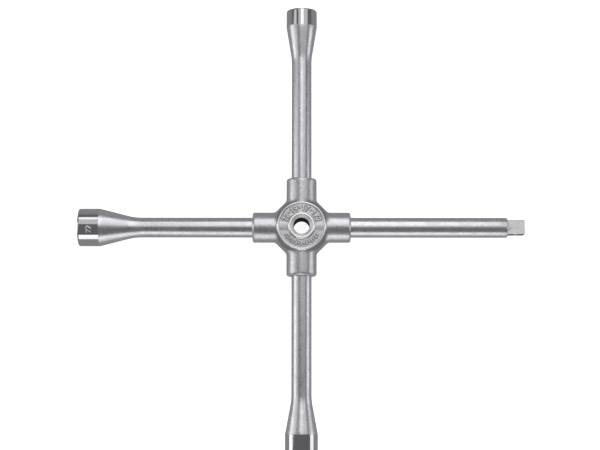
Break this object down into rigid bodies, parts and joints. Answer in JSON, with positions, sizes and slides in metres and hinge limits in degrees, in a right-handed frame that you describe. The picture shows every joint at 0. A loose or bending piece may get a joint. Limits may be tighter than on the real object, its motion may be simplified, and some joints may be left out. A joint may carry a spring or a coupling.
{
  "type": "four-way lug wrench",
  "caption": "Cross-shaped wheel wrench: round steel arms in a forged hub, with hexagon sockets at the arm ends and a square drive with a sprung detent ball.",
  "frame": {"origin": "middle of the hub's through bore, half-way between its two faces", "axes": "+Z along the hub bore, square to the plane of the arms; +X along the arm with the square drive, +Y along the arm with the 17 mm socket"},
  "size_m": [0.4, 0.4, 0.034],
  "materials": {
    "satin_forging": "satin chrome over a forged surface",
    "satin_arm": "satin chrome on the bars, polished to a mirror on the socket barrels",
    "spring_wire": "drawn spring wire",
    "polished_ball": "polished bearing ball"
  },
  "bodies": {
    "wrench": {"hub": "satin_forging", "arm_22mm": "satin_arm", "arm_19mm": "satin_arm", "arm_17mm": "satin_arm", "arm_square_drive": "satin_arm", "detent_spring": "spring_wire"},
    "ball": {"detent_ball": "polished_ball"}
  },
  "joints": [
    {"name": "detent_press", "type": "slide", "parent": "wrench", "child": "ball", "axis": [0, 1, 0], "range_m": [0, 0.0011], "stiffness_N_per_m": 2000, "springref_m": -0.002, "deforming": ["detent_spring"]}
  ]
}
